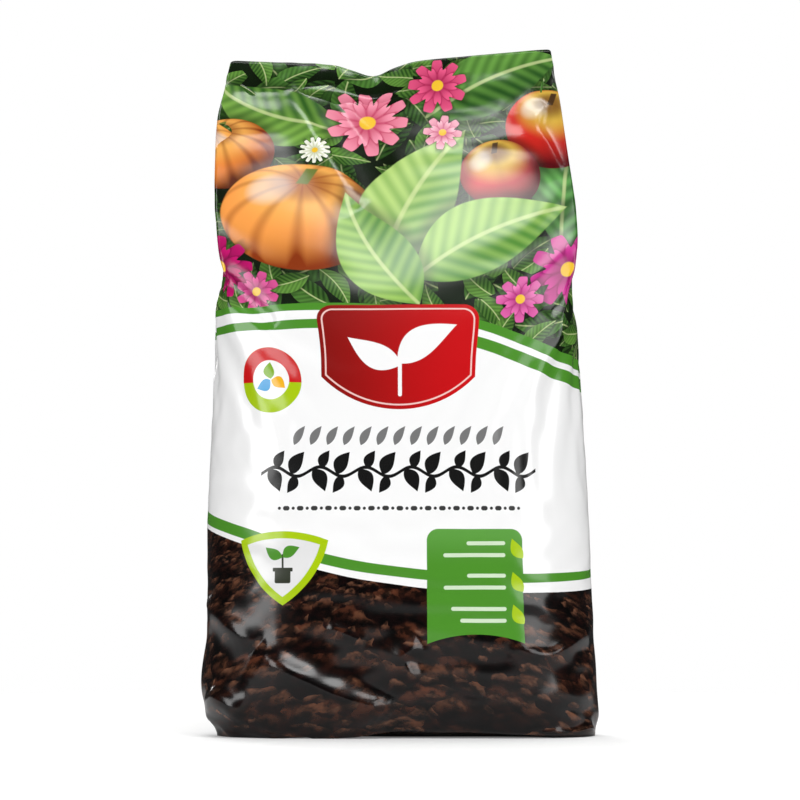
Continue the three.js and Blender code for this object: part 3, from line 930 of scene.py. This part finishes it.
# Clumps to a unit of ground, share of cells left bare, and the inks of a clump's dark and lit sides
CLUMPS = [
    (0.6, 0.05, "#100302", "#522c1c"),
    (1.0, 0.5, "#130403", "#5e3a28"),
    (1.9, 0.7, "#160605", "#674432"),
]
for count, bare, dark_ink, lit_ink in CLUMPS:
    clumps = node(tree, "TexVoronoi", {"Vector": ragged, "Scale": count}, voronoi_dimensions="2D")
    local = vector_calc(tree, "SUBTRACT", ragged, clumps.outputs["Position"])
    rise = vector_calc(tree, "DOT_PRODUCT", local, LIT_SIDE)
    lit = ramp(tree, rise, -0.25 / count, 0.5 / count)
    inside = ramp(tree, clumps.outputs["Distance"], *CLUMP_EDGE)
    drawn = node(tree, "SeparateColor", [clumps.outputs["Color"]])
    chosen = ramp(tree, drawn, bare - 0.05, bare + 0.05)
    strong = ramp(tree, drawn, *CLUMP_STRENGTH)
    lit = calc(tree, "MULTIPLY", lit, strong)
    clump = blend(tree, lit, linear(dark_ink), linear(lit_ink))
    cover = calc(tree, "MULTIPLY", inside, chosen)
    soil = blend(tree, cover, soil, clump)
crumbs = {"Vector": ground, "Scale": GRAIN_SCALE, "Detail": 6.0}
grain = node(tree, "TexNoise", crumbs, noise_dimensions="2D")
mottle = ramp(tree, grain, *MOTTLE)
soil = node(tree, "MixRGB", [1.0, soil, mottle], blend_type="MULTIPLY")
print("layers of clumps:", len(CLUMPS))

# %% [markdown]
# ## Fields and stripes
# Two drawn lines part the sheet: one under the picture field and one over the soil. A painted mask
# could part it too, but a curve node stays sharp, and its points are heights in millimetres. Each
# stripe keeps a distance below its line that grows or shrinks a little from left to right. The fields
# are laid from the top down, each one over everything below its own edge.

# %% Lines, stripes and the white panel
# Places across the film and heights above the base, in millimetres
PICTURE_LINE = [
    (-134.8, 242.5), (-90, 246), (-47, 248), (0, 245.8), (46, 237), (74, 227.8), (100, 220), (134.8, 215)
]
SOIL_LINE = [
    (-134.8, 130.5), (-92, 120.3), (-44.5, 105.2), (0, 97.2), (35, 94.2), (72.5, 93.4), (134.8, 96.2)
]
LEAF_GREEN = linear("#4c8f2a")
PAPER_WHITE = linear("#f6f6f6")


def height_over(line):
    """How high a place lies over a drawn line."""
    width = line[-1][0] - line[0][0]
    along = calc(tree, "MULTIPLY_ADD", across, 1 / width, -line[0][0] / width)
    drawn = node(tree, "FloatCurve", {"Value": along})
    points = drawn.mapping.curves[0].points
    while len(points) < len(line):
        points.new(0.5, 0.5)
    for point, (s, t) in zip(points, line):
        point.location = ((s - line[0][0]) / width, t / BAG_HEIGHT)
    drawn.mapping.update()
    return calc(tree, "MULTIPLY_ADD", drawn, -BAG_HEIGHT, upward)


# Line, distance below it at the middle, what that gains for each millimetre to the right, and the ink
FIELDS = [
    (PICTURE_LINE, 0.0, 0.0, LEAF_GREEN),
    (PICTURE_LINE, 4.8, 0.011, PAPER_WHITE),
    (PICTURE_LINE, 9.5, 0.0, LEAF_GREEN),
    (PICTURE_LINE, 15.5, 0.013, PAPER_WHITE),
    (SOIL_LINE, 0.0, 0.0, LEAF_GREEN),
    (SOIL_LINE, 5.8, -0.009, PAPER_WHITE),
    (SOIL_LINE, 10.3, 0.006, soil),
]
colour = picture
for line, below, gain, ink in FIELDS:
    over = height_over(line)
    dropped = calc(tree, "MULTIPLY_ADD", across, gain, below)
    outside = calc(tree, "ADD", over, dropped)
    colour = inked(colour, outside, ink)
print("fields:", len(FIELDS))

# %% [markdown]
# ## Labels
# On the white panel lie the things that catch a buyer's eye: a red emblem with a sprout, a round badge,
# rows of ornament, a green tab and a lime badge. Thin meshes on the film would be one way, but ink has
# no thickness, so each is a flat ink inside a simple outline. An outline is written as the distance
# that a place lies outside it: the larger of two distances keeps what both shapes share.

# %% Helpers for outlines
def box_outside(at, half, radius, source=place):
    """Distance outside a box with rounded corners: its centre, half sides and radius in millimetres."""
    own = vector_calc(tree, "SUBTRACT", source, (*at, 0))
    aside = vector_calc(tree, "ABSOLUTE", own)
    past = vector_calc(tree, "SUBTRACT", aside, (half[0] - radius, half[1] - radius, 0))
    corner = vector_calc(tree, "MAXIMUM", past, (0, 0, 0))
    away = vector_calc(tree, "LENGTH", corner)
    return calc(tree, "SUBTRACT", away, radius)


def disc_outside(at, radius):
    """Distance outside a disc."""
    away = vector_calc(tree, "DISTANCE", place, (*at, 0))
    return calc(tree, "SUBTRACT", away, radius)


def stamped(under, own, ink, fence=None):
    """Prints a leaf in one flat ink, where the fence, if there is one, lets it."""
    cover = node(tree, "Group", {"X": own[0], "Y": own[1]}, node_tree=leaf).outputs["Cover"]
    if fence:
        cover = calc(tree, "MULTIPLY", cover, fence)
    return blend(tree, cover, under, ink)


# %% Red emblem with a white sprout
EMBLEM_AT = (-0.5, 216.4)
EMBLEM_HALF = (44.3, 30.2)
EMBLEM_CORNER = 9.0
EMBLEM_ARCH = 62.0
EMBLEM_FADE = (-60.0, 45.0)
LINE_INSET = 2.6
LINE_HALF = 0.45
# The stem as a box; centre, size and turn of the two leaves
SPROUT_STEM = ((0, 206.5), (1.1, 13), 1.0)
SPROUT_LEAVES = [((-14, 219.5), 17, 152), ((15, 223.5), 20, 34)]
edge = box_outside(EMBLEM_AT, EMBLEM_HALF, EMBLEM_CORNER)
arch = disc_outside((EMBLEM_AT[0], EMBLEM_AT[1] - EMBLEM_HALF[1] + EMBLEM_ARCH), EMBLEM_ARCH)
edge = calc(tree, "MAXIMUM", edge, arch)
side = ramp(tree, across, *EMBLEM_FADE)
red = blend(tree, side, linear("#80120e"), linear("#c90d14"))
colour = inked(colour, edge, red)
line = calc(tree, "ADD", edge, LINE_INSET)
line = calc(tree, "ABSOLUTE", line)
line = calc(tree, "SUBTRACT", line, LINE_HALF)
colour = inked(colour, line, linear("#f3c9c4"))
colour = inked(colour, box_outside(*SPROUT_STEM), PAPER_WHITE)
for at, size, turn in SPROUT_LEAVES:
    colour = stamped(colour, own_frame(at, size, turn), PAPER_WHITE)
print("emblem, mm:", [2 * half for half in EMBLEM_HALF])

# %% Round badge: a two-coloured ring with three drops
BADGE_AT = (-75.3, 203.3)
BADGE_RADIUS = 18.8
BADGE_HOLE = 11.2
BADGE_PARTING = BADGE_AT[1] - 1.5
DROP_REACH = 5.2
DROP_SIZE = 4.8
DROP_INKS = {90: "#7fae1e", 210: "#2f9bd6", 330: "#f2b314"}
LIME = linear("#a8c80a")
ring = disc_outside(BADGE_AT, BADGE_RADIUS)
upper = calc(tree, "SUBTRACT", BADGE_PARTING, upward)
upper = calc(tree, "MAXIMUM", ring, upper)
colour = inked(colour, ring, LIME)
colour = inked(colour, upper, linear("#cc1114"))
colour = inked(colour, disc_outside(BADGE_AT, BADGE_HOLE), PAPER_WHITE)
for turn, ink in DROP_INKS.items():
    out = (math.cos(math.radians(turn)), math.sin(math.radians(turn)))
    at = (BADGE_AT[0] + DROP_REACH * out[0], BADGE_AT[1] + DROP_REACH * out[1])
    colour = stamped(colour, own_frame(at, DROP_SIZE, turn, 1.6), linear(ink))
print("badge, mm:", 2 * BADGE_RADIUS)

# %% Ornament: helpers that repeat a row and end it
FENCE_EDGE = 0.3
from_middle = calc(tree, "ABSOLUTE", across)


def repeated(pitch):
    """The film's places, with the width across repeated at a pitch."""
    wrapped = calc(tree, "WRAP", across, pitch / 2, -pitch / 2)
    return node(tree, "CombineXYZ", [wrapped, upward])


def fence_at(half):
    """1 nearer the middle than a half width, and 0 beyond."""
    return ramp(tree, from_middle, half, half - FENCE_EDGE)


# %% A row of small leaves
SMALL_PITCH = 9.6
SMALL_HEIGHT = 171.3
SMALL_COUNT = 13
SMALL_INK = linear("#767676")
row = repeated(SMALL_PITCH)
fence = fence_at(SMALL_COUNT / 2 * SMALL_PITCH)
colour = stamped(colour, own_frame((0, SMALL_HEIGHT), 6.2, 60, 0.9, row), SMALL_INK, fence)
print("small leaves:", SMALL_COUNT)

# %% A running vine
VINE_PITCH = 26.0
VINE_HEIGHT = 150.9
VINE_HALF = 3 * VINE_PITCH + 2.0
VINE_SWING = 2.6
VINE_EDGE = (1.15, 0.85)
VINE_INK = linear("#161616")
row = repeated(VINE_PITCH)
fence = fence_at(VINE_HALF)
phase = calc(tree, "MULTIPLY", across, 2 * math.pi / VINE_PITCH)
swing = calc(tree, "SINE", phase)
stem = calc(tree, "MULTIPLY_ADD", swing, VINE_SWING, VINE_HEIGHT)
stem = calc(tree, "SUBTRACT", upward, stem)
stem = calc(tree, "ABSOLUTE", stem)
stem = ramp(tree, stem, *VINE_EDGE)
stem = calc(tree, "MULTIPLY", stem, fence)
colour = blend(tree, stem, colour, VINE_INK)
# Places from the stem's height, turns and sizes of the leaves on one length of vine
VINE_LEAVES = [
    (-6.2, 4.8, 60, 7.4), (6.2, -4.8, -60, 7.4), (-9.5, -6.9, 245, 5.6), (9.5, 6.9, 65, 5.6)
]
for aside, above, turn, size in VINE_LEAVES:
    own = own_frame((aside, VINE_HEIGHT + above), size, turn, 1.25, row)
    colour = stamped(colour, own, VINE_INK, fence)
print("vine, mm:", 2 * VINE_HALF)

# %% A row of dashes and dots
DASH_PITCH = 8.0
DASH_HEIGHT = 130.3
DASH_ROW_HALF = 8.75 * DASH_PITCH
DASH_INK = linear("#3c3c3c")
# Place across and half sides of a dash and a dot
DASHES = [(0, (1.9, 1.3)), (DASH_PITCH / 2, (0.9, 0.9))]
# A mirrored repeat keeps both the dash at its middle and the dot at its ends whole.
mirrored = calc(tree, "PINGPONG", across, DASH_PITCH / 2)
row = node(tree, "CombineXYZ", [mirrored, upward])
fence = fence_at(DASH_ROW_HALF)
for aside, half in DASHES:
    outside = box_outside((aside, DASH_HEIGHT), half, half[1], source=row)
    dash = ramp(tree, outside, INK_EDGE, -INK_EDGE)
    dash = calc(tree, "MULTIPLY", dash, fence)
    colour = blend(tree, dash, colour, DASH_INK)
print("row of dashes, mm:", 2 * DASH_ROW_HALF)

# %% Lime badge with a potted sprout
SHIELD_TIP = (-65.8, 75.4)
SHIELD_RIM = 4.0
SIDE_RADIUS = 56.5
SIDE_CENTRE = (29.3, 48.3)
TOP_RADIUS = 67.2
TOP_CENTRE_DROP = 25.3
DARK_INK = linear("#2e3326")
# Height, half sides and corner radius of the pot, its rim and the stem
POT = [(91.4, (4.6, 3.6), 1.0), (95.6, (5.8, 1.1), 0.5), (99.4, (0.55, 5.0), 0.5)]
POT_LEAVES = 105.4
sides = []
for side in (-1, 1):
    centre = (SHIELD_TIP[0] + side * SIDE_CENTRE[0], SHIELD_TIP[1] + SIDE_CENTRE[1])
    sides.append(disc_outside(centre, SIDE_RADIUS))
shield = calc(tree, "MAXIMUM", *sides)
shield_top = disc_outside((SHIELD_TIP[0], SHIELD_TIP[1] - TOP_CENTRE_DROP), TOP_RADIUS)
shield = calc(tree, "MAXIMUM", shield, shield_top)
face = calc(tree, "ADD", shield, SHIELD_RIM)
colour = inked(colour, shield, LIME)
colour = inked(colour, face, linear("#e3e3e3"))
for height, half, corner in POT:
    colour = inked(colour, box_outside((SHIELD_TIP[0], height), half, corner), DARK_INK)
for offset, turn in ((-5.0, 150), (5.0, 30)):
    own = own_frame((SHIELD_TIP[0] + offset, POT_LEAVES), 5.6, turn, 1.3)
    colour = stamped(colour, own, LEAF_GREEN)
print("lime badge's tip, mm:", SHIELD_TIP)

# %% Green tab with leaf bullets and pale bars
TAB_AT = (42.2, 78.6)
TAB_HALF = (27.2, 40.0)
TAB_CORNER = 6.5
TAB_HOLLOW = 73.5
HOLLOW_TOP = 59.2
TAB_FADE = (96.0, 122.0)
BARS_END = 59.3
BAR_HALF = 1.1
BAR_INK = linear("#d3e6c8")
# Height and length of each bar
BARS = [(110.5, 22), (103.8, 35), (92.2, 22), (85.5, 35), (73.5, 31), (66.9, 26)]
BULLETS_AT = 66.5
BULLET_HEIGHTS = [107.6, 88.8, 70.4]
tab = box_outside(TAB_AT, TAB_HALF, TAB_CORNER)
hollow = disc_outside((TAB_AT[0], HOLLOW_TOP - TAB_HOLLOW), TAB_HOLLOW)
hollow = calc(tree, "MULTIPLY", hollow, -1.0)
tab = calc(tree, "MAXIMUM", tab, hollow)
glow = ramp(tree, upward, *TAB_FADE)
tab_ink = blend(tree, glow, LEAF_GREEN, linear("#60a046"))
colour = inked(colour, tab, tab_ink)
for height, length in BARS:
    bar = box_outside((BARS_END - length / 2, height), (length / 2, BAR_HALF), BAR_HALF)
    colour = inked(colour, bar, BAR_INK)
for height in BULLET_HEIGHTS:
    colour = stamped(colour, own_frame((BULLETS_AT, height), 6.4, 120, 1.2), LIME)
print("tab, mm:", [2 * half for half in TAB_HALF])

# %% [markdown]
# ## The film's gloss
# Such a print lies under a clear, smooth skin of polyethylene: strong colours below, soft and bright
# reflections above. One Principled shader gives both, with the print as its base colour, a low
# roughness and the plastic's index of refraction. A separate clear coat would be the other way, but a
# film this thin shows only one reflection. The print keeps its own UV map, and a second, plain map
# stays free for baking it into an image.

# %% Finish: glossy polyethylene film
# Printed and laminated film is smooth: soft, bright reflections over clear, strong colours.
shader = node(tree, "BsdfPrincipled", {"Base Color": colour, "Roughness": 0.2, "IOR": 1.5})
node(tree, "OutputMaterial", {"Surface": shader})
film.data.materials.append(film_print)
film.data.uv_layers.new(name="OFBake")
film.data.uv_layers["film"].active = True
film.data.uv_layers["film"].active_render = True
print("UV maps:", [layer.name for layer in film.data.uv_layers])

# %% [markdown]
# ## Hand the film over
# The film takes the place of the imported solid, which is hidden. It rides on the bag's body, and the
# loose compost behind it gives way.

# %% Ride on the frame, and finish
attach(film, "root")
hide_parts("compost_bag")
